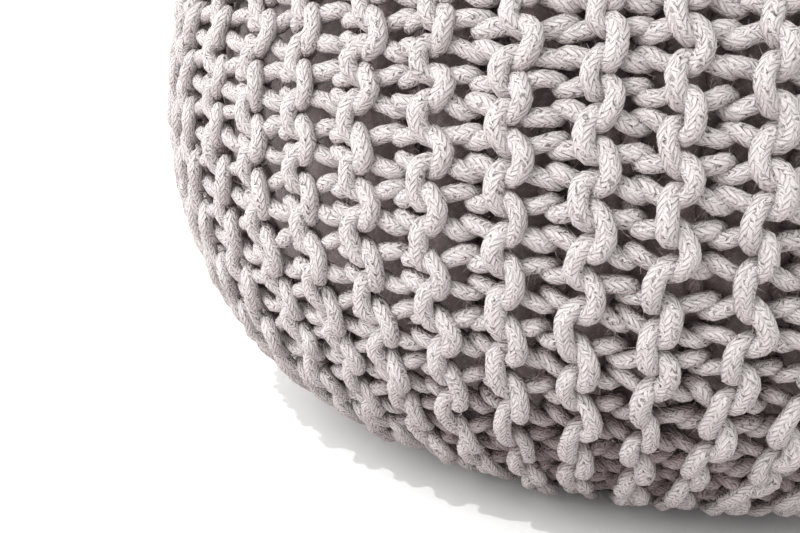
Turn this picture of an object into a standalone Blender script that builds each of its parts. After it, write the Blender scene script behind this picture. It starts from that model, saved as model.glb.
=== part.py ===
# Round pouf: a hand-knitted cord cover with raised ridges, drawn over one filled inner bag.
# Metres, +Z up, origin on the floor under the middle of the foot.
import math

import bmesh
import bpy
import numpy as np

# overall size
pouf_radius = 0.250          # over the ridges at the widest ring
widest_height = 0.163        # height of the widest ring
crown_rise = 0.185           # from the widest ring up to the middle of the top
lower_depth = 0.170          # depth the lower curve would reach if the foot were not flat
crown_powers = (3.0, 2.0)    # superellipse powers above the widest ring, across and upward
lower_powers = (3.92, 1.8)   # the same below it

# knit cover
ridge_count = 56
ridge_group = 8              # ridges repeat in groups, only the first of a group reaches the eye
ridge_start = -0.285         # angle of the first ridge at the widest ring, from the front
ridge_lean = -0.131          # radians a ridge drifts round for each metre up the side
ridge_relief = 0.0050        # how far a crest stands above the valley beside it
crest_share = 0.18           # half width of a crest, as a share of the ridge pitch
base_share = 0.36            # half width of a ridge at its base, same share
cover_thickness = 0.0175     # crest to inner side
short_ends = (0.137, 0.0686, 0.034)   # radii where every second remaining ridge ends
short_spread = 1.5           # a short ridge starts to narrow this many radii before its end
short_width = 0.45           # width left where it ends
crest_fade = 1.2             # and starts to sink this many radii before it
eye_radius = 0.018           # small open eye where the cover is gathered, top and foot
foot_radius = 0.128

# inner bag
bag_gap = 0.0005             # clearance inside the cover
bag_steps = 56

# rings of the mesh
crown_radii = (0.018, 0.026, 0.034, 0.050, 0.0686, 0.098, 0.137)
crown_angles = (58, 48, 36, 24, 12, 0)    # degrees along the superellipse from the widest ring
lower_angles = (12, 24, 36, 47, 57, 66)
inner_radii = (0.055, 0.100, 0.150)
foot_radii = (0.080, 0.040)

knit_colour = (0.60, 0.54, 0.50, 1.0)
bag_colour = (0.075, 0.055, 0.055, 1.0)

turn_round = 2 * math.pi
pitch_turn = turn_round / ridge_count


def outline_point(angle, upper, inset):
    # point of the side outline at this angle, moved inward by the inset
    rise = crown_rise if upper else -lower_depth
    across, along = crown_powers if upper else lower_powers
    cosine = max(math.cos(angle), 1e-6)
    sine = max(math.sin(angle), 1e-6)
    radius = pouf_radius * cosine ** (2 / across)
    height = rise * sine ** (2 / along)
    outward = cosine ** (2 - 2 / across) / pouf_radius
    onward = sine ** (2 - 2 / along) / rise
    length = math.hypot(outward, onward)
    radius -= inset * outward / length
    height -= inset * onward / length
    return radius, max(widest_height + height, inset)


def crown_angle(radius):
    return math.acos((radius / pouf_radius) ** (crown_powers[0] / 2))


def smooth_part(value, low, high):
    part = min(max((value - low) / (high - low), 0.0), 1.0)
    return part * part * (3 - 2 * part)


def ridge_widths(radius):
    # share of the pitch that each ridge of a group keeps at this radius
    widths = np.ones(ridge_group)
    for level, end in enumerate(short_ends):
        stride = 2 ** level
        width = short_width + (1 - short_width) * smooth_part(radius, end, end * short_spread)
        widths[stride::2 * stride] = width if radius > end else 0.0
    return widths


def ridge_crests(radius):
    # relief of each ridge of a group at this radius, 1 on the open side
    crests = np.ones(ridge_group)
    for level, end in enumerate(short_ends):
        stride = 2 ** level
        crests[stride::2 * stride] = smooth_part(radius, end, end * crest_fade)
    return crests


def ridge_columns(radius, height):
    # angle and relief of the four columns of every ridge
    widths = ridge_widths(radius)
    crests = ridge_crests(radius)
    whole = widths.sum()
    centres = (np.cumsum(widths) - widths / 2 - widths[0] / 2) / whole
    group_turn = pitch_turn * ridge_group
    start = ridge_start + ridge_lean * (height - widest_height)
    columns = []
    for ridge in range(ridge_count):
        group, place = divmod(ridge, ridge_group)
        middle = start + group_turn * (group + centres[place])
        width = group_turn * widths[place] / whole
        columns.append((middle - base_share * width, 0.0))
        columns.append((middle - crest_share * width, crests[place]))
        columns.append((middle + crest_share * width, crests[place]))
        columns.append((middle + base_share * width, 0.0))
    return columns


def kept_column(ridge, place, radius):
    # a column of a ridge that has ended joins the base of the ridge beside it
    for level, end in enumerate(short_ends):
        stride = 2 ** level
        if radius < end + 1e-6 and ridge % (2 * stride) == stride:
            ridge, place = (ridge - stride, 3) if place < 2 else (ridge + stride, 0)
    return ridge % ridge_count * 4 + place


def ring_point(radius, height, turn):
    # the turn starts at the front and grows towards +X
    return radius * math.sin(turn), -radius * math.cos(turn), height


def ribbed_ring(mesh, angle, upper):
    radius, height = outline_point(angle, upper, 0.0)
    columns = ridge_columns(radius, height)
    made = {}
    ring = []
    for ridge in range(ridge_count):
        for place in range(4):
            key = kept_column(ridge, place, radius) if upper else ridge * 4 + place
            if key not in made:
                turn, crest = columns[key]
                point = outline_point(angle, upper, ridge_relief * (1 - crest))
                made[key] = mesh.verts.new(ring_point(*point, turn))
            ring.append(made[key])
    return ring


def round_ring(mesh, radius, height, start):
    # one column for each ridge, named four times so that it meets a ribbed ring
    ring = []
    for ridge in range(ridge_count):
        corner = mesh.verts.new(ring_point(radius, height, start + pitch_turn * ridge))
        ring += [corner] * 4
    return ring


def add_strip(mesh, upper, lower):
    # faces between two rings, where columns beside each other may have joined
    for place, following in enumerate(list(range(1, len(upper))) + [0]):
        corners = []
        for corner in (upper[place], lower[place], lower[following], upper[following]):
            if corner not in corners:
                corners.append(corner)
        if len(corners) > 2:
            mesh.faces.new(corners)


def cover_outer(mesh):
    # outer face from the top eye down to the eye in the foot
    rings = [ribbed_ring(mesh, crown_angle(radius), True) for radius in crown_radii]
    rings += [ribbed_ring(mesh, math.radians(angle), True) for angle in crown_angles]
    rings += [ribbed_ring(mesh, math.radians(angle), False) for angle in lower_angles]
    foot = []
    for turn, crest in ridge_columns(foot_radius, 0.0):
        foot.append(mesh.verts.new(ring_point(foot_radius, 0.0, turn)))
    rings.append(foot)
    for radius in foot_radii + (eye_radius,):
        rings.append(round_ring(mesh, radius, 0.0, ridge_start))
    return rings


def inner_outline(inset):
    # smooth outline at this inset, from near the top eye down to the foot
    points = [outline_point(crown_angle(radius), True, inset) for radius in inner_radii]
    points += [outline_point(math.radians(angle), True, inset) for angle in crown_angles]
    points += [outline_point(math.radians(angle), False, inset) for angle in lower_angles]
    points.append((foot_radius - 0.2 * inset, inset))
    return points


def cover_inner(mesh):
    # columns in step with the bag, so the clearance stays even
    start = pitch_turn * round(ridge_start / pitch_turn)
    top = (eye_radius, widest_height + crown_rise - cover_thickness)
    outline = [top] + inner_outline(cover_thickness) + [(eye_radius, cover_thickness)]
    return [round_ring(mesh, radius, height, start) for radius, height in outline]


def build_cover():
    mesh = bmesh.new()
    outer = cover_outer(mesh)
    inner = cover_inner(mesh)
    for upper, lower in zip(outer, outer[1:]):
        add_strip(mesh, upper, lower)
    add_strip(mesh, outer[-1], inner[-1])
    for upper, lower in zip(inner, inner[1:]):
        add_strip(mesh, lower, upper)
    add_strip(mesh, inner[0], outer[0])
    bmesh.ops.triangulate(mesh, faces=mesh.faces[:])
    data = bpy.data.meshes.new("knit_cover")
    mesh.to_mesh(data)
    mesh.free()
    return bpy.data.objects.new("knit_cover", data)


def build_bag():
    # half outline turned once round the upright axis
    inset = cover_thickness + bag_gap
    outline = [(0.0, widest_height + crown_rise - inset)] + inner_outline(inset) + [(0.0, inset)]
    data = bpy.data.meshes.new("inner_bag")
    data.from_pydata([(radius, 0.0, height) for radius, height in outline],
                     [(place, place + 1) for place in range(len(outline) - 1)], [])
    bag = bpy.data.objects.new("inner_bag", data)
    screw = bag.modifiers.new("turn", "SCREW")
    screw.axis = "Z"
    screw.angle = turn_round
    screw.steps = bag_steps
    screw.render_steps = bag_steps
    screw.use_merge_vertices = True
    screw.merge_threshold = 0.0001
    screw.use_normal_calculate = True
    return bag


def add_material(thing, name, colour, roughness):
    material = bpy.data.materials.new(name)
    material.use_nodes = True
    shader = material.node_tree.nodes["Principled BSDF"]
    shader.inputs["Base Color"].default_value = colour
    shader.inputs["Roughness"].default_value = roughness
    shader.inputs["Metallic"].default_value = 0.0
    thing.data.materials.append(material)


def smooth_surface(thing):
    bpy.context.view_layer.objects.active = thing
    thing.select_set(True)
    bpy.ops.object.shade_smooth()
    thing.data.set_sharp_from_angle(angle=math.radians(50))
    thing.select_set(False)


for old in list(bpy.data.objects):
    bpy.data.objects.remove(old, do_unlink=True)
pouf = bpy.data.collections.new("knitted_pouf")
bpy.context.scene.collection.children.link(pouf)
cover = build_cover()
bag = build_bag()
for thing in (cover, bag):
    pouf.objects.link(thing)
add_material(cover, "knit_cord", knit_colour, 0.92)
add_material(bag, "bag_fabric", bag_colour, 0.88)
smooth_surface(cover)
smooth_surface(bag)
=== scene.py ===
import math

import bpy
import numpy as np
from mathutils import Matrix, Vector


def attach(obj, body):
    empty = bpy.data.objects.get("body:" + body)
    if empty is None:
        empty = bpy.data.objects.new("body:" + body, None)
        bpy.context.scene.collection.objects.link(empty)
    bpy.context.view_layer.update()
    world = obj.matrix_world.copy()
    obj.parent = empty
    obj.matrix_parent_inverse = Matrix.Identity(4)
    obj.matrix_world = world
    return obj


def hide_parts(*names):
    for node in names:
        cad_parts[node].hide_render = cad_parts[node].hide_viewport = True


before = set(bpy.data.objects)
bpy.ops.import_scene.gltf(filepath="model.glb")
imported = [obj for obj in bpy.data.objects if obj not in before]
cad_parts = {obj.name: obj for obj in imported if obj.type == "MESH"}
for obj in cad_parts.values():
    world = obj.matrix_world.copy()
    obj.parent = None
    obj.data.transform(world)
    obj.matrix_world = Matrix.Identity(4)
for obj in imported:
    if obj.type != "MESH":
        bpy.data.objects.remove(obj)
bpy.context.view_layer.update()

# shape of the pouf, metres
pouf = {
    "radius": 0.250,
    "widestHeight": 0.163,
    "crownRise": 0.185,        # from the widest ring up to the top
    "lowerDepth": 0.170,       # and down, a little past the floor, so that the foot is flat
    "crownPowers": (3.0, 2.0),     # how square the side outline is, across and up
    "lowerPowers": (3.92, 1.8),
    "eyeRadius": 0.018,        # the open eye at the top and the foot
    "outlineSteps": 1500,      # points on each half of the side outline
    "evenSteps": 1200,         # points on the whole of it, evenly spaced
    "smoothSteps": 31,
    "poleGap": 1e-4,           # radians kept off the poles
}

# thick cord of the cover
cord = {
    "radius": 0.0032,
    "flat": (1.05, 0.96),      # width and depth of the cord's section against a round one
    "press": 0.76,             # how close two strands may press, as a share of the full thickness
    "swing": 1.72,             # depth of a stitch each way, in cord radii
    "unevenAcross": 0.035,     # wander of the stitches, in ridge pitches
    "unevenAlong": 0.04,       # in stitch pitches
    "unevenDepth": 0.2,        # in cord radii
    "sizeSpread": 0.06,        # stitches differ in width by this share
    "sizeWaves": (12.9898, 78.233, 1.7),   # by ridge, by row, and for the tails
    "thinDeep": 0.92,          # thickness at middle depth, as a share of the radius
    "thickProud": 0.05,        # gained for each cord radius outward
    "thickThin": 0.055,        # slow changes of thickness along the cord
    "lumps": 0.055,            # knobbly skin, as a share of the radius
    "kink": 0.16,              # small kinks of the cord, in cord radii
    "thickSmooth": 5,          # rounds of smoothing, of the thickness and of the kinks
    "kinkSmooth": 3,
    "floorRise": 0.98,         # cord radii from the floor to the lowest cord's middle
    "floorGap": 0.0002,        # metres
}

# ridges and stitches
knit = {
    "ridges": 56,
    "group": 8,                # ridges in a group, of which one reaches the eye
    "start": -0.285,           # turn of the first ridge, radians
    "lean": -0.131,            # radians a metre of height
    "shortEnds": (0.137, 0.0686, 0.034),   # every second ridge left ends at these radii
    "shortSpread": 1.5,        # it narrows from this much outside its end
    "shortWidth": 0.45,        # down to this share of its width
    "leastShare": 0.25,        # of a full ridge's width, at least
    "endGap": 0.004,           # metres from the end of a ridge to its last stitch
    "eyeGap": 0.003,           # metres from the eye to the ridges that reach it
    "closingBend": ((-0.45, 0.78, -0.6), (-0.3, 0.85, 0.2)),   # past the last stitch to the tail
    "pitchKnots": ((-0.40, 0.0262), (-0.12, 0.0262), (-0.04, 0.0229), (-0.005, 0.0190),
                   (0.05, 0.0188), (0.16, 0.0235), (0.42, 0.0235)),    # arc height, stitch pitch
    "firstStitch": 0.0226,     # arc height of the stitch row numbered zero above the widest ring
    "headLean": 0.3,           # ridge pitches a head leans for each stitch pitch
    "squeeze": 0.4,            # share by which their heads and tails close up
    "squeezeReach": 0.3,       # ridge pitches from the ridge's middle
    "leftRidges": (-2, -5, -14),   # where this starts, is full and ends
}

# how far each stitch on the near side sits off its even place, in hundredths of a pitch:
# one line a ridge from left to right, one value a stitch from row zero down
nearWander = {
    "firstRidge": -7,
    "headPlace": 0.165,        # ridge pitches from a ridge's middle to its heads
    "fade": 5,                 # pitches over which it fades out round the table
    "across": (
        (-56, -58, -60, -60, -60, -55, -50, -45),
        (-56, -58, -62, -62, -60, -55, -50, -45),
        (-42, -44, -48, -48, -45, -42, -40, -36),
        (-13, -13, -16, -17, -26, -24, -22, -20),
        (10, 3, 0, 2, 2, 7, 14, -7),
        (4, 3, -2, -3, 0, 5, 11, -8),
        (12, 3, 2, 8, 2, 15, 4, 4),
        (7, 6, 4, 1, 7, 6, 9, -5),
        (11, 6, 6, 3, 2, 5, 7, 3),
        (-2, 1, 3, 5, 6, 3, 5, -4),
        (-6, -5, -4, -3, -3, -3, -10, 1),
        (-17, -10, -3, -6, -3, -3, -8, -8),
    ),
    "along": (
        (0, 0, 6, 10, 12, 12, 12, 12),
        (0, 0, 6, 12, 16, 16, 16, 16),
        (0, 0, 6, 15, 18, 18, 18, 18),
        (0, 0, 6, 17, 20, 20, 20, 20),
        (10, 11, 15, 16, 16, 16, -7, -13),
        (-7, 10, 6, 6, 9, 9, 0, -6),
        (9, 4, 2, 7, 4, -2, -8, -8),
        (-3, -6, -9, -10, -13, -16, -5, 18),
        (5, -1, -8, -12, -9, -13, -11, 12),
        (0, -8, -10, -6, -5, 5, 4, 20),
        (0, 3, -2, 0, 10, 3, 12, 20),
        (-7, -6, 6, 10, 7, 6, 16, 16),
    ),
}

detail = {
    "nearRidges": (-9, 6),     # ridges on the side the picture shows
    "nearHeights": (-0.235, 0.085),    # arc heights from the widest ring
    "nearSteps": 28,           # points a stitch
    "farSteps": 16,
    "nearSides": 10,           # sides round the cord
    "farSides": 7,
    "panelRidges": 4,          # ridges in one mesh
}

randomSource = np.random.default_rng(41)


def outlineArrays(inset, count):
    # dense side outline from the top pole to the bottom pole, moved inward
    radii = []
    heights = []
    for upper in (True, False):
        rise = pouf["crownRise"] if upper else -pouf["lowerDepth"]
        across, along = pouf["crownPowers"] if upper else pouf["lowerPowers"]
        angle = np.linspace(math.pi / 2 - pouf["poleGap"], pouf["poleGap"], count)
        angle = angle if upper else angle[::-1]
        cosine = np.cos(angle)
        sine = np.sin(angle)
        outward = cosine ** (2 - 2 / across) / pouf["radius"]
        onward = sine ** (2 - 2 / along) / rise
        length = np.hypot(outward, onward)
        radii.append(pouf["radius"] * cosine ** (2 / across) - inset * outward / length)
        heights.append(pouf["widestHeight"] + rise * sine ** (2 / along) - inset * onward / length)
    radius = np.concatenate(radii)
    height = np.maximum(np.concatenate(heights), inset)
    keep = radius > 0
    return radius[keep], height[keep]


def buildOutline():
    # the middle surface of the knit, with arc length counted upward from the widest ring
    inset = (cord["swing"] + 1) * cord["radius"]
    radius, height = outlineArrays(inset, pouf["outlineSteps"])
    step = np.hypot(np.diff(radius), np.diff(height))
    arc = np.concatenate([[0], np.cumsum(step)])
    even = np.linspace(0, arc[-1], pouf["evenSteps"])
    radius = np.interp(even, arc, radius)
    height = np.interp(even, arc, height)
    window = np.hanning(pouf["smoothSteps"])
    window /= window.sum()
    margin = pouf["smoothSteps"] // 2
    radius = np.convolve(np.pad(radius, margin, "reflect", reflect_type="odd"), window, "valid")
    height = np.convolve(np.pad(height, margin, "edge"), window, "valid")
    across = np.gradient(radius)
    upward = np.gradient(height)
    length = np.hypot(across, upward)
    widest = even[np.argmax(radius)]
    return {
        "arc": (widest - even)[::-1],
        "radius": radius[::-1],
        "height": height[::-1],
        "outR": (-upward / length)[::-1],
        "outZ": (across / length)[::-1],
        "inset": inset,
    }


outline = buildOutline()


def onOutline(name, arc):
    return np.interp(arc, outline["arc"], outline[name])


def stitchLadder():
    # arc height of every stitch row, row zero first at the chosen height, down is positive
    knots = np.array(knit["pitchKnots"])
    rows = {0: knit["firstStitch"]}
    arc = knit["firstStitch"]
    row = 0
    while arc > outline["arc"][0]:
        arc -= np.interp(arc, knots[:, 0], knots[:, 1])
        row += 1
        rows[row] = arc
    arc = knit["firstStitch"]
    row = 0
    while arc < outline["arc"][-1]:
        arc += np.interp(arc, knots[:, 0], knots[:, 1])
        row -= 1
        rows[row] = arc
    order = sorted(rows)
    return np.array(order, float), np.array([rows[row] for row in order])


ladderRows, ladderArcs = stitchLadder()


def smoothPart(value, low, high):
    part = np.clip((value - low) / (high - low), 0, 1)
    return part * part * (3 - 2 * part)


def ridgeShares(radius):
    # width share of each ridge of a group at these radii, shape (group, points)
    widths = np.ones((knit["group"], len(radius)))
    for level, end in enumerate(knit["shortEnds"]):
        stride = 2 ** level
        part = smoothPart(radius, end, end * knit["shortSpread"])
        width = knit["shortWidth"] + (1 - knit["shortWidth"]) * part
        widths[stride::2 * stride] = np.where(radius > end, width, 0)
    return widths


def ridgePlace(ridge, arc):
    # turn of a ridge's middle and its width in radians at these arc heights
    radius = onOutline("radius", arc) + outline["inset"] * onOutline("outR", arc)
    shares = ridgeShares(radius)
    whole = shares.sum(axis=0)
    centres = (np.cumsum(shares, axis=0) - shares / 2 - shares[0] / 2) / whole
    group, place = divmod(ridge, knit["group"])
    groupTurn = 2 * math.pi * knit["group"] / knit["ridges"]
    lean = knit["lean"] * (onOutline("height", arc) - pouf["widestHeight"])
    middle = knit["start"] + lean + groupTurn * (group + centres[place])
    width = groupTurn * np.maximum(shares[place], knit["leastShare"]) / whole
    return middle, width, radius


acrossMirror = np.array([1, -1, 1])    # a stitch is the same up and down from its middle


def spread(points, count):
    # the same number of steps evenly along a line of points
    step = np.linalg.norm(np.diff(points, axis=0), axis=1)
    arc = np.concatenate([[0], np.cumsum(step)])
    even = np.linspace(0, arc[-1], count)
    return np.stack([np.interp(even, arc, points[:, axis]) for axis in range(3)], 1)


def curvedThrough(points, count, fine=10):
    # smooth line through a half stitch that mirrors at both ends
    first = points[1] * acrossMirror + [0, 2 * points[0][1], 0]
    last = points[-2] * acrossMirror + [0, 2 * points[-1][1], 0]
    ends = np.vstack([first, points, last])
    part = np.linspace(0, 1, fine, endpoint=False)[:, None]
    pieces = []
    for place in range(1, len(ends) - 2):
        before, here, after, beyond = ends[place - 1:place + 3]
        square = 2 * before - 5 * here + 4 * after - beyond
        cube = 3 * here - before - 3 * after + beyond
        curve = 2 * here + (after - before) * part + square * part ** 2 + cube * part ** 3
        pieces.append(0.5 * curve)
    pieces.append(points[-1:])
    return spread(np.vstack(pieces), count)


# half a stitch of the two yarns that make a ridge: across in ridge pitches,
# along in stitch pitches, depth in cord radii, from the bend in front to the bend behind
stitchShape = {
    "head": [(0.175, 0.0, 1.75), (0.157, 0.13, 1.65), (0.105, 0.24, 1.38), (0.01, 0.31, 1.05),
             (-0.09, 0.32, 0.65), (-0.17, 0.27, 0.1), (-0.29, 0.215, 0.35), (-0.40, 0.185, 0.6),
             (-0.49, 0.175, -0.1), (-0.56, 0.23, -1.1), (-0.62, 0.36, -1.6), (-0.65, 0.5, -1.7)],
    "tail": [(-0.16, 0.5, 1.68), (-0.15, 0.37, 1.57), (-0.115, 0.25, 1.22), (-0.05, 0.175, 0.8),
             (0.04, 0.16, 0.2), (0.14, 0.19, -0.1), (0.28, 0.26, 0.4), (0.40, 0.295, 0.6),
             (0.49, 0.31, -0.1), (0.56, 0.27, -1.1), (0.62, 0.14, -1.6), (0.65, 0.0, -1.7)],
}


def pushApart(own, others, reach):
    # moves each point half the overlap away from the others that it presses, on average
    gap = own[:, None] - others[None]
    distance = np.linalg.norm(gap, axis=2) + 1e-9
    overlap = np.clip(reach - distance, 0, None)
    push = (gap / distance[..., None] * overlap[..., None] * 0.5).sum(axis=1)
    return push / np.maximum((overlap > 0).sum(axis=1), 1)[:, None]


relax = {
    "points": 16,
    "rounds": 260,
    "push": 0.9,
    "bend": 0.02,
    "stiff": 0.04,
    "pull": (0.08, 0.1, 0.04),     # back to the table's shape, by direction
    "freeEnds": 5,             # points at each end that don't meet their own mirror
}


def relaxStitch(pitchAcross, pitchAlong):
    # the yarns start from the table and are pushed apart where they press, and kept smooth
    scale = np.array([pitchAcross, pitchAlong, cord["radius"]])
    goals = [curvedThrough(np.array(stitchShape[name]) * scale, relax["points"])
             for name in ("head", "tail")]
    yarns = [goal.copy() for goal in goals]
    across = np.array([pitchAcross, 0, 0])
    along = np.array([0, pitchAlong, 0])
    reach = 2 * cord["radius"] * cord["press"]
    inside = slice(relax["freeEnds"], -relax["freeEnds"])
    for turn in range(relax["rounds"]):
        both = [np.vstack([yarn, yarn * acrossMirror]) for yarn in yarns]
        forces = []
        for index, side in ((0, 1), (1, -1)):
            others = np.vstack([both[1 - index] - across * side * column + along * row
                                for column in (0, 1) for row in (-1, 0, 1)])
            force = pushApart(yarns[index], others, reach)
            far = np.vstack([yarns[index][inside] * acrossMirror + along * row for row in (-1, 0, 1)])
            force[inside] += pushApart(yarns[index][inside], far, reach)
            forces.append(force)
        for yarn, goal, force in zip(yarns, goals, forces):
            top = np.array([0, 2 * goal[0][1], 0])
            low = np.array([0, 2 * goal[-1][1], 0])
            ends = np.vstack([yarn[2] * acrossMirror + top, yarn[1] * acrossMirror + top, yarn,
                              yarn[-2] * acrossMirror + low, yarn[-3] * acrossMirror + low])
            bend = ends[1:-3] + ends[3:-1] - 2 * ends[2:-2]
            stiff = ends[:-4] - 4 * ends[1:-3] + 6 * ends[2:-2] - 4 * ends[3:-1] + ends[4:]
            yarn += (relax["push"] * force + relax["bend"] * bend - relax["stiff"] * stiff
                     + (goal - yarn) * relax["pull"])
            yarn[0, 1] = goal[0][1]
            yarn[-1, 1] = goal[-1][1]
    return yarns


# stitches are worked out for these ridge pitches and one stitch pitch, metres
cellPitches = (0.010, 0.016, 0.022, 0.028, 0.034)
cellAlong = 0.0215


def stitchCells(steps):
    # whole stitches of both yarns for several ridge pitches, in pitches and metres:
    # each half runs from the stitch's middle, and its mirror completes it
    cells = {"head": [], "tail": []}
    for pitch in cellPitches:
        head, tail = relaxedYarns[pitch]
        for name, lower in (("head", head), ("tail", tail[::-1])):
            whole = np.vstack([lower[::-1] * acrossMirror, lower[1:]])
            whole = spread(whole, steps + 1)[:-1]
            cells[name].append(whole / [pitch, cellAlong, 1])
    return {name: np.array(value) for name, value in cells.items()}


relaxedYarns = {pitch: relaxStitch(pitch, cellAlong) for pitch in cellPitches}
nearCells = stitchCells(detail["nearSteps"])
farCells = stitchCells(detail["farSteps"])
print("stitch shapes relaxed")


def signedRidge(ridge):
    # ridges counted both ways from the first, which is near the front
    half = knit["ridges"] // 2
    return (ridge + half) % knit["ridges"] - half


unevenGrid = randomSource.normal(0, 1, (knit["ridges"], len(ladderRows) + 4, 3))


def unevenness(across, along):
    # smooth wander shared by all yarns that pass a place, so that they keep their order
    firstRow = ladderRows[0] - 2
    row = np.clip(along - firstRow, 0, unevenGrid.shape[1] - 1.001)
    lowRow = np.floor(row).astype(int)
    partRow = row - lowRow
    lowRidge = np.floor(across).astype(int)
    partRidge = across - lowRidge
    partRow = partRow * partRow * (3 - 2 * partRow)
    partRidge = partRidge * partRidge * (3 - 2 * partRidge)
    count = knit["ridges"]
    first = unevenGrid[lowRidge % count, lowRow]
    second = unevenGrid[(lowRidge + 1) % count, lowRow]
    third = unevenGrid[lowRidge % count, lowRow + 1]
    fourth = unevenGrid[(lowRidge + 1) % count, lowRow + 1]
    partRow = partRow[:, None]
    partRidge = partRidge[:, None]
    upper = first * (1 - partRidge) + second * partRidge
    lower = third * (1 - partRidge) + fourth * partRidge
    return upper * (1 - partRow) + lower * partRow


def measuredWander(across, along):
    # the wander of the near side between its listed places, fading out beyond them
    ridge = signedRidge(across) - nearWander["headPlace"] - nearWander["firstRidge"]
    result = []
    for name in ("across", "along"):
        table = np.array(nearWander[name]) / 100
        insideRidge = np.clip(ridge, 0, table.shape[0] - 1 - 1e-6)
        insideRow = np.clip(along, 0, table.shape[1] - 1 - 1e-6)
        lowRidge = insideRidge.astype(int)
        lowRow = insideRow.astype(int)
        partRidge = insideRidge - lowRidge
        partRow = insideRow - lowRow
        left = table[lowRidge, lowRow] * (1 - partRow) + table[lowRidge, lowRow + 1] * partRow
        right = table[lowRidge + 1, lowRow] * (1 - partRow) + table[lowRidge + 1, lowRow + 1] * partRow
        beyond = np.hypot(ridge - insideRidge, along - insideRow)
        value = left * (1 - partRidge) + right * partRidge
        result.append(value * (1 - smoothPart(beyond, 0, nearWander["fade"])))
    return result


def endRadius(ridge):
    # every second ridge left ends at the next radius inward, and the last reaches the eye
    place = ridge % knit["group"]
    for level, end in enumerate(knit["shortEnds"]):
        stride = 2 ** level
        if place % (2 * stride) == stride:
            return end
    return pouf["eyeRadius"] + knit["eyeGap"]


def stitchSpan(ridge):
    # first and last stitch row of a ridge
    radius = onOutline("radius", ladderArcs) + outline["inset"] * onOutline("outR", ladderArcs)
    inside = ladderRows[radius > endRadius(ridge) + knit["endGap"]]
    return int(inside.min()), int(inside.max())


def cellPoints(cells, name, pitch):
    # the stitch for this ridge pitch, blended from the two nearest cells
    place = np.clip(np.interp(pitch, cellPitches, range(len(cellPitches))), 0, len(cellPitches) - 1.001)
    low = int(place)
    part = place - low
    return cells[name][low] * (1 - part) + cells[name][low + 1] * part


def isNearRidge(ridge):
    low, high = detail["nearRidges"]
    return low <= signedRidge(ridge) <= high


def isNearRow(row):
    low, high = detail["nearHeights"]
    return low < np.interp(row, ladderRows, ladderArcs) < high


def leftPart(ridge):
    # one on the ridges well left of the middle, whose heads lean and sit closer to the tails
    signed = signedRidge(ridge)
    start, full, end = knit["leftRidges"]
    return smoothPart(start - signed, 0, start - full) * (1 - smoothPart(full - signed, 0, full - end))


def ridgeRow(ridge, row, name, part):
    # one stitch of one yarn of a ridge
    cells = nearCells if isNearRidge(ridge) and isNearRow(row) else farCells
    arc = np.interp(row, ladderRows, ladderArcs)
    width, radius = ridgePlace(ridge, np.array([arc]))[1:]
    points = cellPoints(cells, name, float(width[0] * radius[0])).copy()
    ridgeWave, rowWave, tailWave = cord["sizeWaves"]
    wave = math.sin(ridgeWave * ridge + rowWave * row + (0 if name == "head" else tailWave))
    points[:, 0] *= 1 + cord["sizeSpread"] * wave
    if name == "head":
        points[:, 0] -= knit["headLean"] * part * points[:, 1]
    middle = np.exp(-(points[:, 0] / knit["squeezeReach"]) ** 2)
    points[:, 0] *= 1 - knit["squeeze"] * part * middle
    points[:, 1] += row
    return points


def ridgeYarn(ridge):
    # the closed line of one ridge: down along the heads and back up along the tails
    first, last = stitchSpan(ridge)
    part = leftPart(ridge)
    down, up = [np.vstack([ridgeRow(ridge, row, name, part) for row in range(first, last + 1)])
                for name in ("head", "tail")]
    bend = [(across, beyond, depth * cord["radius"]) for across, beyond, depth in knit["closingBend"]]
    turnLow = np.array([[across, last + beyond, depth] for across, beyond, depth in bend])
    turnTop = np.array([[across, first - beyond, depth] for across, beyond, depth in bend[::-1]])
    return np.vstack([down, turnLow, up[::-1], turnTop])


def placeYarn(ridge, line):
    # from ridge, row and depth to metres, with the outward direction of every point
    wander = unevenness(ridge + line[:, 0], line[:, 1])
    seen = measuredWander(ridge + line[:, 0], line[:, 1])
    across = line[:, 0] + cord["unevenAcross"] * wander[:, 0] + seen[0]
    along = line[:, 1] + cord["unevenAlong"] * wander[:, 1] + seen[1]
    depth = line[:, 2] + cord["unevenDepth"] * cord["radius"] * wander[:, 2]
    arc = np.interp(along, ladderRows, ladderArcs)
    middle, width = ridgePlace(ridge, arc)[:2]
    turn = middle + across * width
    outR = onOutline("outR", arc)
    outZ = onOutline("outZ", arc)
    radial = onOutline("radius", arc) + depth * outR
    height = onOutline("height", arc) + depth * outZ
    height = np.maximum(height, cord["radius"] * cord["floorRise"])
    points = np.stack([radial * np.sin(turn), -radial * np.cos(turn), height], 1)
    outward = np.stack([outR * np.sin(turn), -outR * np.cos(turn), outZ], 1)
    return points, outward, depth / cord["radius"]


def smoothLoop(points, rounds):
    for turn in range(rounds):
        points = 0.5 * points + 0.25 * (np.roll(points, 1, axis=0) + np.roll(points, -1, axis=0))
    return points


def loopNoise(count, rounds):
    # smooth closed noise of about unit size
    values = randomSource.normal(0, 1, (count, 1))
    values = smoothLoop(values, rounds)[:, 0]
    return values / values.std()


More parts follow.
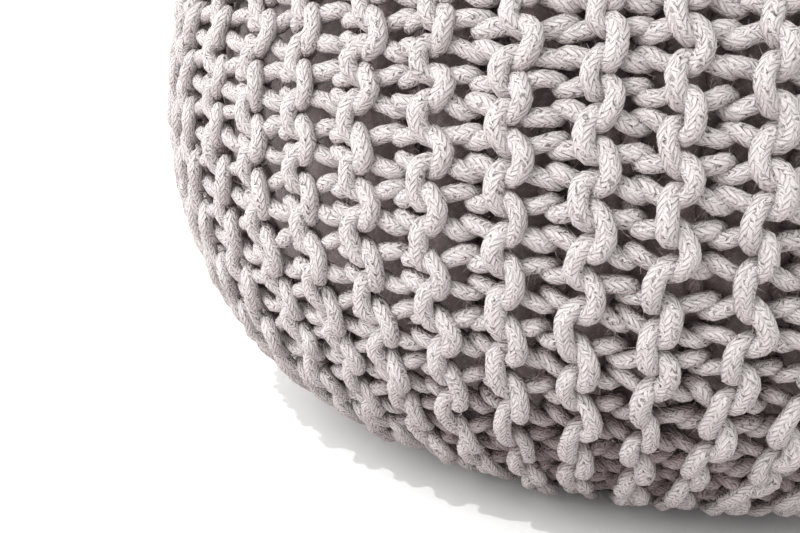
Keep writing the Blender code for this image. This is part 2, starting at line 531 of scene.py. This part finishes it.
def tubeArrays(points, outward, sides, radius):
    # closed tube: corners, quads and surface coordinates along and round the cord
    count = len(points)
    tangent = np.roll(points, -1, axis=0) - np.roll(points, 1, axis=0)
    tangent /= np.linalg.norm(tangent, axis=1)[:, None]
    side = np.cross(tangent, outward)
    side /= np.linalg.norm(side, axis=1)[:, None] + 1e-12
    top = np.cross(side, tangent)
    angle = np.arange(sides) / sides * 2 * math.pi
    wide, deep = cord["flat"]
    ring = (deep * np.cos(angle)[None, :, None] * top[:, None]
            + wide * np.sin(angle)[None, :, None] * side[:, None])
    corners = points[:, None] + ring * radius[..., None]
    length = np.concatenate([[0], np.cumsum(np.linalg.norm(np.diff(points, axis=0), axis=1))])
    whole = length[-1] + np.linalg.norm(points[0] - points[-1])
    here = np.arange(count)[:, None] * sides
    after = (np.arange(count)[:, None] + 1) % count * sides
    column = np.arange(sides)[None]
    nextColumn = (column + 1) % sides
    quads = np.stack([here + column, after + column, after + nextColumn, here + nextColumn], 2)
    alongHere = np.broadcast_to(length[:, None], (count, sides))
    alongNext = np.broadcast_to(np.append(length[1:], whole)[:, None], (count, sides))
    roundHere = np.broadcast_to(column / sides, (count, sides))
    roundNext = np.broadcast_to((column + 1) / sides, (count, sides))
    flat = np.stack([
        np.stack([alongHere, roundHere], 2), np.stack([alongNext, roundHere], 2),
        np.stack([alongNext, roundNext], 2), np.stack([alongHere, roundNext], 2)], 2)
    return corners.reshape(-1, 3), quads.reshape(-1, 4), flat.reshape(-1, 2)


def meshFromArrays(name, corners, quads, flat):
    data = bpy.data.meshes.new(name)
    data.vertices.add(len(corners))
    data.vertices.foreach_set("co", corners.astype(np.float32).ravel())
    data.loops.add(quads.size)
    data.loops.foreach_set("vertex_index", quads.astype(np.int32).ravel())
    data.polygons.add(len(quads))
    data.polygons.foreach_set("loop_start", np.arange(0, quads.size, quads.shape[1], dtype=np.int32))
    data.polygons.foreach_set("use_smooth", np.ones(len(quads), bool))
    layer = data.uv_layers.new(name="cordLay")
    layer.data.foreach_set("uv", flat.astype(np.float32).ravel())
    data.update(calc_edges=True)
    thing = bpy.data.objects.new(name, data)
    bpy.context.scene.collection.objects.link(thing)
    return thing


# loose fibres that stand off the cord
fuzz = {
    "nearCount": 2200,         # on each ridge of the near side
    "farCount": 120,
    "length": (0.001, 0.0042),
    "width": 0.0001,
    "joints": 3,
    "roundCord": 1.3,          # radians from the outward side
    "rootDepth": 0.9,          # cord radii from the middle of the cord
    "rootShift": 0.001,        # metres along the cord
    "outward": 0.55,           # how much of a fibre's aim is outward, and how much at random
    "wild": 0.75,
    "turn": 0.7,               # how far it turns away from its aim, and how much of that shows
    "curl": 0.6,
    "tip": 0.25,               # width of the tip against the root
}


def hairArrays(points, outward, count):
    # centre lines of loose fibres rooted on the cord's skin, shape (count, joints, 3)
    tangent = np.roll(points, -1, axis=0) - np.roll(points, 1, axis=0)
    tangent /= np.linalg.norm(tangent, axis=1)[:, None]
    pick = randomSource.integers(0, len(points), count)
    angle = randomSource.normal(0, fuzz["roundCord"], count)
    ahead = tangent[pick]
    side = np.cross(ahead, outward[pick])
    side /= np.linalg.norm(side, axis=1)[:, None] + 1e-12
    top = np.cross(side, ahead)
    skin = np.cos(angle)[:, None] * top + np.sin(angle)[:, None] * side
    shift = randomSource.uniform(-fuzz["rootShift"], fuzz["rootShift"], (count, 1))
    root = points[pick] + skin * cord["radius"] * fuzz["rootDepth"] + ahead * shift
    aim = fuzz["outward"] * skin + randomSource.normal(0, fuzz["wild"], (count, 3))
    aim /= np.linalg.norm(aim, axis=1)[:, None]
    turn = randomSource.normal(0, fuzz["turn"], (count, 3))
    low, high = fuzz["length"]
    length = low + (high - low) * randomSource.uniform(0, 1, count) ** 2
    part = np.linspace(0, 1, fuzz["joints"])[None, :, None]
    course = part * aim[:, None] + part ** 2 * fuzz["curl"] * turn[:, None]
    return root[:, None] + length[:, None, None] * course


def joinHairs(name, lines, material):
    # each fibre is a thin ribbon that narrows to its tip
    count, joints = lines.shape[:2]
    ahead = lines[:, -1] - lines[:, 0]
    side = np.cross(ahead, randomSource.normal(0, 1, (count, 3)))
    side /= np.linalg.norm(side, axis=1)[:, None] + 1e-12
    width = fuzz["width"] * np.linspace(1, fuzz["tip"], joints)[None, :, None] / 2
    corners = np.stack([lines - side[:, None] * width, lines + side[:, None] * width], 2)
    corners[..., 2] = np.maximum(corners[..., 2], cord["floorGap"])
    first = (np.arange(count)[:, None] * joints + np.arange(joints - 1)[None]) * 2
    quads = np.stack([first, first + 1, first + 3, first + 2], 2)
    flat = np.zeros((quads.shape[0] * quads.shape[1], 4, 2))
    piece = meshFromArrays(name, corners.reshape(-1, 3), quads.reshape(-1, 4), flat.reshape(-1, 2))
    piece.data.materials.append(material)
    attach(piece, "root")
    print(name, count, "fibres")


# painted shade on the cord, which follows its depth, in cord radii, and grows towards the floor
paintedHollowShade = {
    "start": 0.58,             # depth at which it begins
    "lowGain": 2.2,            # moved outward by this much at the floor
    "fade": 1.7,               # full this much deeper
    "dimBelow": 0.15,          # metres above the floor
    "brightLeft": (0.02, 0.17),    # not so this far left of the middle
}


def buildRidge(ridge, near):
    # corners, quads, surface coordinates, painted shade, loose fibres and length of one ridge's cord
    points, outward, depth = placeYarn(ridge, ridgeYarn(ridge))
    points = smoothLoop(points, 1)
    kinks = np.stack([loopNoise(len(points), cord["kinkSmooth"]) for axis in range(3)], 1)
    points = points + cord["kink"] * cord["radius"] * kinks
    sides = detail["nearSides" if near else "farSides"]
    wobble = 1 + cord["thickThin"] * loopNoise(len(points), cord["thickSmooth"])
    lumps = 1 + cord["lumps"] * randomSource.normal(0, 1, (len(points), sides))
    wobble = wobble * (cord["thinDeep"] + cord["thickProud"] * depth)
    corners, quads, flat = tubeArrays(points, outward, sides, cord["radius"] * wobble[:, None] * lumps)
    corners[:, 2] = np.maximum(corners[:, 2], cord["floorGap"])
    # painted shade: cord that lies deep is darkened, more so low near the floor and less so on the left
    skinDepth = depth[:, None] + np.cos(np.arange(sides) / sides * 2 * math.pi)[None]
    low = smoothPart(paintedHollowShade["dimBelow"] - points[:, 2], 0, paintedHollowShade["dimBelow"])
    low *= 1 - smoothPart(-points[:, 0], *paintedHollowShade["brightLeft"])
    start = paintedHollowShade["start"] + paintedHollowShade["lowGain"] * low[:, None]
    paintedRecessShade = smoothPart(start - skinDepth, 0, paintedHollowShade["fade"]).ravel()
    hairs = hairArrays(points, outward, fuzz["nearCount" if near else "farCount"])
    flat = flat + [randomSource.uniform(0, 3), 0]
    length = np.linalg.norm(np.diff(points, axis=0), axis=1).sum()
    return corners, quads, flat, paintedRecessShade, hairs, length


def buildKnit(material, fibreMaterial):
    # the ridges in panels, and their loose fibres in two pieces
    hairs = {True: [], False: []}
    for start in range(0, knit["ridges"], detail["panelRidges"]):
        made = []
        offset = 0
        for ridge in range(start, start + detail["panelRidges"]):
            near = isNearRidge(ridge)
            corners, quads, flat, paintedRecessShade, ridgeHairs, length = buildRidge(ridge, near)
            made.append((corners, quads + offset, flat, paintedRecessShade))
            offset += len(corners)
            hairs[near].append(ridgeHairs)
        corners, quads, flat, paintedRecessShade = [np.concatenate(part) for part in zip(*made)]
        number = start // detail["panelRidges"] + 1
        panel = meshFromArrays(f"knitPanel{number:02d}", corners, quads, flat)
        layer = panel.data.attributes.new("paintedRecessShade", "FLOAT", "POINT")
        layer.data.foreach_set("value", paintedRecessShade.astype(np.float32))
        panel.data.materials.append(material)
        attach(panel, "root")
    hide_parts("knit_cover")
    for name, near in (("cordFuzzFront", True), ("cordFuzzBack", False)):
        joinHairs(name, np.vstack(hairs[near]), fibreMaterial)


# the filled bag inside, metres
bagShape = {
    "gap": 0.0003,             # from the back of the knit
    "outlineSteps": 400,
    "rows": 120,
    "columns": 240,
    "waves": 14,               # shallow hollows in the cloth
    "around": (3, 30),         # ranges of each wave's count round the bag,
    "upward": (20, 120),       # radians a metre of height
    "phase": (0, 6.28),        # and start
    "swell": 0.0004 / 3,
    "clothRound": 1.5,         # metres of cloth round the bag
}


def buildBag(material):
    inset = 2 * (cord["swing"] + 1) * cord["radius"] + bagShape["gap"]
    radius, height = outlineArrays(inset, bagShape["outlineSteps"])
    step = np.hypot(np.diff(radius), np.diff(height))
    arc = np.concatenate([[0], np.cumsum(step)])
    even = np.linspace(0, arc[-1], bagShape["rows"])
    radius = np.interp(even, arc, radius)
    height = np.interp(even, arc, height)
    radius[[0, -1]] = 0
    columns = bagShape["columns"]
    turn = np.arange(columns) / columns * 2 * math.pi
    swell = np.zeros((len(radius), columns))
    for wave in range(bagShape["waves"]):
        around = randomSource.integers(*bagShape["around"])
        upward = randomSource.uniform(*bagShape["upward"])
        phase = randomSource.uniform(*bagShape["phase"])
        swell += np.sin(around * turn[None] + upward * height[:, None] + phase)
    swell = np.minimum(swell * bagShape["swell"], 0.0)
    swell[[0, -1]] = 0
    ring = np.maximum(radius[:, None] + swell, 0)
    corners = np.stack([ring * np.sin(turn), -ring * np.cos(turn),
                        np.broadcast_to(height[:, None], ring.shape)], 2)
    here = np.arange(len(radius) - 1)[:, None] * columns
    column = np.arange(columns)[None]
    following = (column + 1) % columns
    below = here + columns
    quads = np.stack([here + column, below + column, below + following, here + following], 2)
    cloth = bagShape["clothRound"]
    flat = np.zeros((quads.shape[0], quads.shape[1], 4, 2))
    flat[..., 0, 0] = flat[..., 1, 0] = column / columns * cloth
    flat[..., 2, 0] = flat[..., 3, 0] = (column + 1) / columns * cloth
    flat[..., 0, 1] = flat[..., 3, 1] = even[:-1, None]
    flat[..., 1, 1] = flat[..., 2, 1] = even[1:, None]
    bag = meshFromArrays("innerBagFabric", corners.reshape(-1, 3), quads.reshape(-1, 4),
                         flat.reshape(-1, 2))
    bag.data.materials.append(material)
    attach(bag, "root")
    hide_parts("inner_bag")
    print("inner bag built")


def addNode(tree, kind, **values):
    node = tree.nodes.new(kind)
    for name, value in values.items():
        setattr(node, name, value)
    return node


def newMaterial(name):
    material = bpy.data.materials.new(name)
    material.use_nodes = True
    tree = material.node_tree
    return material, tree, tree.nodes["Principled BSDF"]


def feed(tree, value, socket):
    # a plain value goes into the socket, anything else is linked to it
    if isinstance(value, (int, float, tuple)):
        socket.default_value = value
    else:
        tree.links.new(value, socket)


def calc(tree, operation, *values):
    node = addNode(tree, "ShaderNodeMath", operation=operation)
    for place, value in enumerate(values):
        feed(tree, value, node.inputs[place])
    return node.outputs[0]


def noise(tree, vector, scale, layers):
    node = addNode(tree, "ShaderNodeTexNoise")
    node.inputs["Scale"].default_value = scale
    node.inputs["Detail"].default_value = layers
    tree.links.new(vector, node.inputs["Vector"])
    return node.outputs[0]


def clampedPart(tree, value):
    return calc(tree, "MINIMUM", calc(tree, "MAXIMUM", value, 0), 1)


def blend(tree, part, first, second, way="MIX"):
    node = addNode(tree, "ShaderNodeMix", data_type="RGBA", blend_type=way)
    for place, value in ((0, part), (6, first), (7, second)):
        feed(tree, value, node.inputs[place])
    return node.outputs[2]


def axes(tree, vector):
    split = addNode(tree, "ShaderNodeSeparateXYZ")
    tree.links.new(vector, split.inputs[0])
    return split.outputs


def joinAxes(tree, *values):
    node = addNode(tree, "ShaderNodeCombineXYZ")
    for place, value in enumerate(values):
        feed(tree, value, node.inputs[place])
    return node.outputs[0]


def addBump(tree, shader, height, strength, distance):
    bump = addNode(tree, "ShaderNodeBump")
    bump.inputs["Strength"].default_value = strength
    bump.inputs["Distance"].default_value = distance
    tree.links.new(height, bump.inputs["Height"])
    tree.links.new(bump.outputs[0], shader.inputs["Normal"])


def setMatt(shader, look):
    for name, value in look["matt"].items():
        shader.inputs[name].default_value = value


cordLook = {
    "light": (0.52, 0.488, 0.478, 1),
    "dark": (0.468, 0.431, 0.417, 1),
    "line": (0.26, 0.222, 0.212, 1),
    "groove": (0.06, 0.043, 0.04, 1),
    # colour of the painted shade on cord that lies deep between the ridges
    "paintedHollowShade": (0.35, 0.28, 0.275, 1),
    "underShadeTint": (0.72, 0.65, 0.65, 1),    # painted shade on what faces down
    "underShadeShare": (-0.8, 0.12),     # its share by how far the surface faces up
    "plaits": 5,               # pairs of plait columns round the cord
    "plaitLength": 0.0021,     # metres from one plait stroke to the next
    "slant": 2.4,              # strokes crossed while going from one column seam to the next
    "shift": (330, 1.7, -0.85),    # waviness of the strokes: scale, gain and middle of its noise
    "shiftAcross": 0.5,        # how much of it the columns take
    "strokeRound": 3,          # the higher, the flatter the strokes
    "seam": (7, 0.25),         # steepness of the seams between the columns, and height left in them
    "lanes": (4.5, 1.6, 90),   # fibres across the strokes, round the cord and along it
    "fineScale": 1300,
    "fibreRelief": 0.35,
    "fineRelief": 0.65,
    "relief": 0.00045,         # metres
    "slowTone": (22, 0.7, -0.45),  # slow changes of tone: scale, gain and middle of their noise
    "strokeTone": 0.25,
    "fibreTone": 0.45,
    "fineTone": (2.4, -1.2),   # gain and middle of the finest speckle
    "soft": (0.45, 2.6),       # where the soft line between strokes begins, and its steepness
    "lineShare": (0.44, 0.2),  # its strength: what the stroke's own tone adds, and the least
    "gap": (0.38, 5),          # where the dark gaps begin, and their steepness
    "patch": (420, 8, -3.95),  # noise that picks the gaps that go dark
    "grooveShare": 0.92,       # strength of the dark gaps
    "matt": {"Roughness": 0.95, "Specular IOR Level": 0.12, "Sheen Weight": 0.1, "Sheen Roughness": 0.6},
}


def scaledNoise(tree, place, look):
    scale, gain, middle = look
    return calc(tree, "MULTIPLY_ADD", noise(tree, place, scale, 3), gain, middle)


def belowPart(tree, value, look):
    # grows from zero as the value falls below a start
    start, steep = look
    return calc(tree, "MULTIPLY", calc(tree, "SUBTRACT", start, value), steep)


def cordMaterial():
    look = cordLook
    material, tree, shader = newMaterial("cottonCord")
    lay = axes(tree, addNode(tree, "ShaderNodeUVMap", uv_map="cordLay").outputs[0])
    place = addNode(tree, "ShaderNodeTexCoord").outputs["Object"]
    shift = scaledNoise(tree, place, look["shift"])
    # plait strokes lie in zigzag columns round the cord
    columnShift = calc(tree, "MULTIPLY", shift, look["shiftAcross"])
    column = calc(tree, "MULTIPLY_ADD", lay[1], look["plaits"], columnShift)
    offset = calc(tree, "ABSOLUTE", calc(tree, "SUBTRACT", calc(tree, "FRACT", column), 0.5))
    along = calc(tree, "MULTIPLY_ADD", lay[0], 1 / look["plaitLength"], shift)
    phase = calc(tree, "MULTIPLY_ADD", offset, look["slant"], along)
    fromMiddle = calc(tree, "ABSOLUTE", calc(tree, "MULTIPLY_ADD", calc(tree, "FRACT", phase), 2, -1))
    swell = calc(tree, "SUBTRACT", 1, calc(tree, "POWER", fromMiddle, look["strokeRound"]))
    seam = calc(tree, "MINIMUM", offset, calc(tree, "SUBTRACT", 0.5, offset))
    seam = calc(tree, "MINIMUM", calc(tree, "MULTIPLY_ADD", seam, *look["seam"]), 1)
    plait = calc(tree, "MULTIPLY", swell, seam)
    # fibres run along each stroke
    lanes = [calc(tree, "MULTIPLY", value, count)
             for value, count in zip((phase, column, lay[0]), look["lanes"])]
    fibre = noise(tree, joinAxes(tree, *lanes), 1, 3)
    fine = noise(tree, place, look["fineScale"], 3)
    height = calc(tree, "MULTIPLY_ADD", fibre, look["fibreRelief"], plait)
    height = calc(tree, "MULTIPLY_ADD", fine, look["fineRelief"], height)
    addBump(tree, shader, height, 1.0, look["relief"])
    # every stroke has its own tone, under slow changes along the cord
    halfColumn = calc(tree, "FLOOR", calc(tree, "MULTIPLY", column, 2))
    number = joinAxes(tree, calc(tree, "FLOOR", phase), halfColumn)
    strokeNode = addNode(tree, "ShaderNodeTexWhiteNoise", noise_dimensions="2D")
    tree.links.new(number, strokeNode.inputs["Vector"])
    strokeTone = strokeNode.outputs[0]
    tone = scaledNoise(tree, place, look["slowTone"])
    tone = calc(tree, "MULTIPLY_ADD", strokeTone, look["strokeTone"], tone)
    tone = calc(tree, "MULTIPLY_ADD", fibre, look["fibreTone"], tone)
    tone = calc(tree, "ADD", tone, calc(tree, "MULTIPLY_ADD", fine, *look["fineTone"]))
    body = blend(tree, clampedPart(tree, tone), look["light"], look["dark"])
    # a soft line lies between strokes, and only some gaps go dark
    soft = clampedPart(tree, belowPart(tree, plait, look["soft"]))
    share = calc(tree, "MULTIPLY_ADD", strokeTone, *look["lineShare"])
    body = blend(tree, calc(tree, "MULTIPLY", soft, share), body, look["line"])
    gap = clampedPart(tree, belowPart(tree, plait, look["gap"]))
    patch = clampedPart(tree, scaledNoise(tree, place, look["patch"]))
    grooves = calc(tree, "MULTIPLY", calc(tree, "MULTIPLY", gap, patch), look["grooveShare"])
    body = blend(tree, grooves, body, look["groove"])
    # painted shade darkens what faces down, and cord that lies deep between the ridges, more so near the
    # floor
    upward = axes(tree, addNode(tree, "ShaderNodeNewGeometry").outputs["Normal"])[2]
    underShadePart = clampedPart(tree, calc(tree, "MULTIPLY_ADD", upward, *look["underShadeShare"]))
    body = blend(tree, underShadePart, body, look["underShadeTint"], "MULTIPLY")
    paintedRecessShade = addNode(tree, "ShaderNodeAttribute", attribute_name="paintedRecessShade").outputs["Fac"]
    body = blend(tree, paintedRecessShade, body, look["paintedHollowShade"], "MULTIPLY")
    tree.links.new(body, shader.inputs["Base Color"])
    setMatt(shader, look)
    return material


fuzzLook = {
    "light": (0.66, 0.61, 0.59, 1),
    "dark": (0.36, 0.30, 0.29, 1),
    "scale": 300,
    "mix": (2.5, -0.75),       # gain and middle of the noise between the two
    "matt": {"Roughness": 0.9, "Specular IOR Level": 0.1, "Sheen Weight": 0.3},
}


def fuzzMaterial():
    material, tree, shader = newMaterial("cottonFuzz")
    place = addNode(tree, "ShaderNodeTexCoord").outputs["Object"]
    part = calc(tree, "MULTIPLY_ADD", noise(tree, place, fuzzLook["scale"], 1), *fuzzLook["mix"])
    colour = blend(tree, clampedPart(tree, part), fuzzLook["light"], fuzzLook["dark"])
    tree.links.new(colour, shader.inputs["Base Color"])
    setMatt(shader, fuzzLook)
    return material


bagLook = {
    "colour": (0.225, 0.172, 0.167, 1),
    "fleck": (0.43, 0.36, 0.35, 1),
    # colour of the painted light on the cloth's left side
    "paintedLeftLight": (0.62, 0.55, 0.53, 1),
    "paintedLightFrom": (0.09, 0.2),   # metres to the left of the middle where painted light makes the cloth paler
    "threads": 1400,           # threads a metre
    "lintScale": 420,
    "lint": (2.2, -1.0),       # gain and middle of the noise that lays the flecks
    "weaveTone": 0.12,
    "lintRelief": 0.8,
    "relief": 0.0002,          # metres
    "reliefStrength": 0.4,
    "matt": {"Roughness": 0.9, "Specular IOR Level": 0.2, "Sheen Weight": 0.2},
}


def bagMaterial():
    look = bagLook
    material, tree, shader = newMaterial("bagCloth")
    lay = axes(tree, addNode(tree, "ShaderNodeUVMap", uv_map="cordLay").outputs[0])
    warp, weft = [calc(tree, "SINE", calc(tree, "MULTIPLY", lay[axis], look["threads"] * math.pi))
                  for axis in (0, 1)]
    weave = calc(tree, "MULTIPLY", warp, weft)
    place = addNode(tree, "ShaderNodeTexCoord").outputs["Object"]
    lint = noise(tree, place, look["lintScale"], 4)
    part = calc(tree, "MULTIPLY_ADD", lint, *look["lint"])
    part = calc(tree, "MULTIPLY_ADD", weave, look["weaveTone"], part)
    cloth = blend(tree, calc(tree, "MAXIMUM", part, 0), look["colour"], look["fleck"])
    # painted light: paler towards the left side
    low, high = look["paintedLightFrom"]
    leftLightPart = calc(tree, "MULTIPLY_ADD", axes(tree, place)[0], -1 / (high - low), -low / (high - low))
    colour = blend(tree, clampedPart(tree, leftLightPart), cloth, look["paintedLeftLight"])
    tree.links.new(colour, shader.inputs["Base Color"])
    height = calc(tree, "MULTIPLY_ADD", lint, look["lintRelief"], weave)
    addBump(tree, shader, height, look["reliefStrength"], look["relief"])
    setMatt(shader, look)
    return material


buildKnit(cordMaterial(), fuzzMaterial())
buildBag(bagMaterial())

floorLook = {"size": 40.0, "colour": (0.93, 0.93, 0.93, 1), "roughness": 0.9}


def buildFloor():
    half = floorLook["size"] / 2
    data = bpy.data.meshes.new("studioFloor")
    corners = [(-half, -half, 0), (half, -half, 0), (half, half, 0), (-half, half, 0)]
    data.from_pydata(corners, [], [(0, 1, 2, 3)])
    floor = bpy.data.objects.new("studioFloor", data)
    bpy.context.scene.collection.objects.link(floor)
    material, _, shader = newMaterial("floorPaint")
    shader.inputs["Base Color"].default_value = floorLook["colour"]
    shader.inputs["Roughness"].default_value = floorLook["roughness"]
    data.materials.append(material)


buildFloor()

studio = {
    "skyStrength": 1.05,
    "sunAim": (-0.258, -0.532, 0.806),     # the way to the high light, above the viewer
    "sunWidth": 0.012,         # radians
    "sunPower": 1.15,
    "fillPlace": (-2.05, -1.4, 0.9),       # a large soft light from the left
    "fillAim": (0, 0, 0.15),
    "fillSize": 3.5,
    "fillPower": 93,
    "nearPlace": (-0.55, -0.75, 0.22),     # a small soft light close to the left side
    "nearAim": (-0.15, -0.1, 0.12),
    "nearSize": 0.4,
    "nearPower": 1.45,
}


def addLight(kind):
    data = bpy.data.lights.new(kind + "Light", "AREA")
    data.size = studio[kind + "Size"]
    data.energy = studio[kind + "Power"]
    place = Vector(studio[kind + "Place"])
    lamp = bpy.data.objects.new(kind + "Light", data)
    lamp.location = place
    lamp.rotation_euler = (Vector(studio[kind + "Aim"]) - place).to_track_quat("-Z", "Y").to_euler()
    bpy.context.scene.collection.objects.link(lamp)


def buildStudio():
    world = bpy.data.worlds.new("studioSky")
    world.use_nodes = True
    sky = world.node_tree.nodes["Background"]
    sky.inputs[0].default_value = (1, 1, 1, 1)
    sky.inputs[1].default_value = studio["skyStrength"]
    bpy.context.scene.world = world
    addLight("fill")
    addLight("near")
    sun = bpy.data.lights.new("highLight", "SUN")
    sun.angle = studio["sunWidth"]
    sun.energy = studio["sunPower"]
    lamp = bpy.data.objects.new("highLight", sun)
    lamp.rotation_euler = Vector(studio["sunAim"]).to_track_quat("Z", "Y").to_euler()
    lamp.location = Vector(studio["sunAim"]) * 3
    bpy.context.scene.collection.objects.link(lamp)
    bpy.context.scene.view_settings.view_transform = "Standard"
    print("floor and lights built")


buildStudio()

view = {
    "distance": 0.5487,        # metres from the upright axis of the pouf
    "height": 0.1675,
    "yaw": -0.2289,            # radians, turned to the left of the axis
    "pitch": -0.1773,
    "roll": 0.0848,
    "lens": 44.2,              # millimetres
    "sensor": 36,
    "nearClip": 0.01,          # metres
}


def buildCamera():
    data = bpy.data.cameras.new("photoCamera")
    data.lens = view["lens"]
    data.sensor_width = view["sensor"]
    data.clip_start = view["nearClip"]
    camera = bpy.data.objects.new("photoCamera", data)
    ahead = Vector((math.sin(view["yaw"]) * math.cos(view["pitch"]),
                    math.cos(view["yaw"]) * math.cos(view["pitch"]), math.sin(view["pitch"])))
    level = Vector((math.cos(view["yaw"]), -math.sin(view["yaw"]), 0))
    upward = level.cross(ahead)
    right = level * math.cos(view["roll"]) + upward * math.sin(view["roll"])
    top = upward * math.cos(view["roll"]) - level * math.sin(view["roll"])
    turn = Matrix((right, top, -ahead)).transposed()
    camera.rotation_mode = "QUATERNION"
    camera.rotation_quaternion = turn.to_quaternion()
    camera.location = (0, -view["distance"], view["height"])
    bpy.context.scene.collection.objects.link(camera)
    bpy.context.scene.camera = camera
    print("camera placed")


buildCamera()
